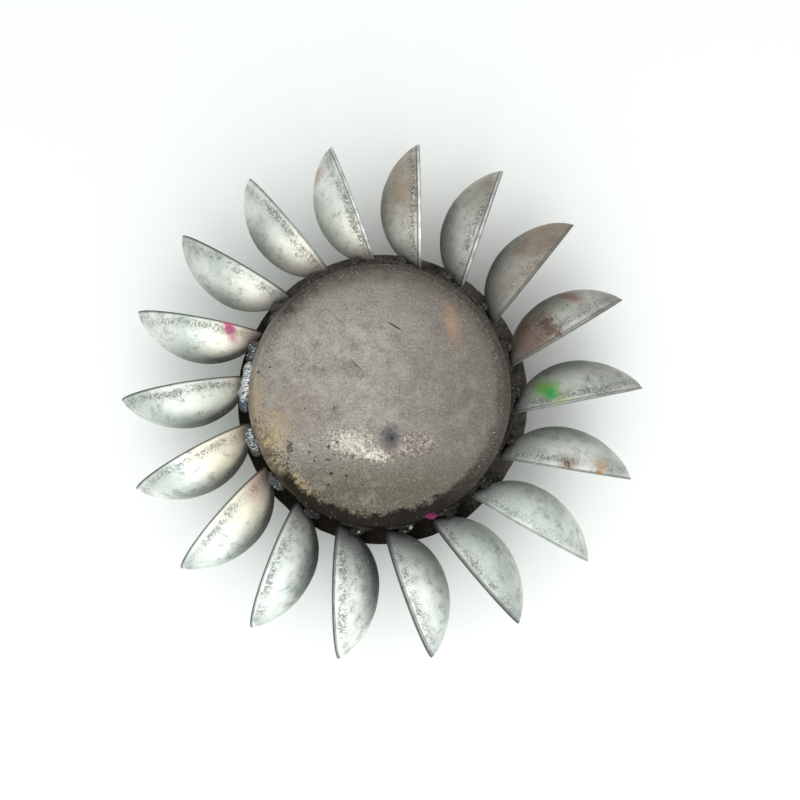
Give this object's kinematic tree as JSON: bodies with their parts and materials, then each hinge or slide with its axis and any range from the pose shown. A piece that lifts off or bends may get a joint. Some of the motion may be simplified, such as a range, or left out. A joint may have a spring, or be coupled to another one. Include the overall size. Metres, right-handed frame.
{
  "type": "impulse turbine runner",
  "caption": "Water turbine runner: curved cup buckets welded around a solid chamfered hub, with a disc and a keyed shaft boss behind it.",
  "frame": {"origin": "centre of the runner's axis, at the free face of the shaft boss that it lies on", "axes": "+Z along the runner's axis, from the shaft boss to the flat front face; seen from +Z the bucket mouths face clockwise"},
  "size_m": [0.4, 0.3954, 0.0926],
  "materials": {
    "bucket_steel": "pressed steel, satin, pitted near the rim",
    "hub_steel": "mill scale and stain, matt",
    "weld_steel": "as welded, dark"
  },
  "bodies": {
    "root": {"bucket_01": "bucket_steel", "bucket_02": "bucket_steel", "bucket_03": "bucket_steel", "bucket_04": "bucket_steel", "bucket_05": "bucket_steel", "bucket_06": "bucket_steel", "bucket_07": "bucket_steel", "bucket_08": "bucket_steel", "bucket_09": "bucket_steel", "bucket_10": "bucket_steel", "bucket_11": "bucket_steel", "bucket_12": "bucket_steel", "bucket_13": "bucket_steel", "bucket_14": "bucket_steel", "bucket_15": "bucket_steel", "bucket_16": "bucket_steel", "bucket_17": "bucket_steel", "bucket_18": "bucket_steel", "bucket_weld_01": "weld_steel", "bucket_weld_02": "weld_steel", "bucket_weld_03": "weld_steel", "bucket_weld_04": "weld_steel", "bucket_weld_05": "weld_steel", "bucket_weld_06": "weld_steel", "bucket_weld_07": "weld_steel", "bucket_weld_08": "weld_steel", "bucket_weld_09": "weld_steel", "bucket_weld_10": "weld_steel", "bucket_weld_11": "weld_steel", "bucket_weld_12": "weld_steel", "bucket_weld_13": "weld_steel", "bucket_weld_14": "weld_steel", "bucket_weld_15": "weld_steel", "bucket_weld_16": "weld_steel", "bucket_weld_17": "weld_steel", "bucket_weld_18": "weld_steel", "hub": "hub_steel", "back_disc": "hub_steel", "shaft_boss": "hub_steel", "hub_weld": "weld_steel", "boss_weld": "weld_steel"}
  },
  "joints": []
}
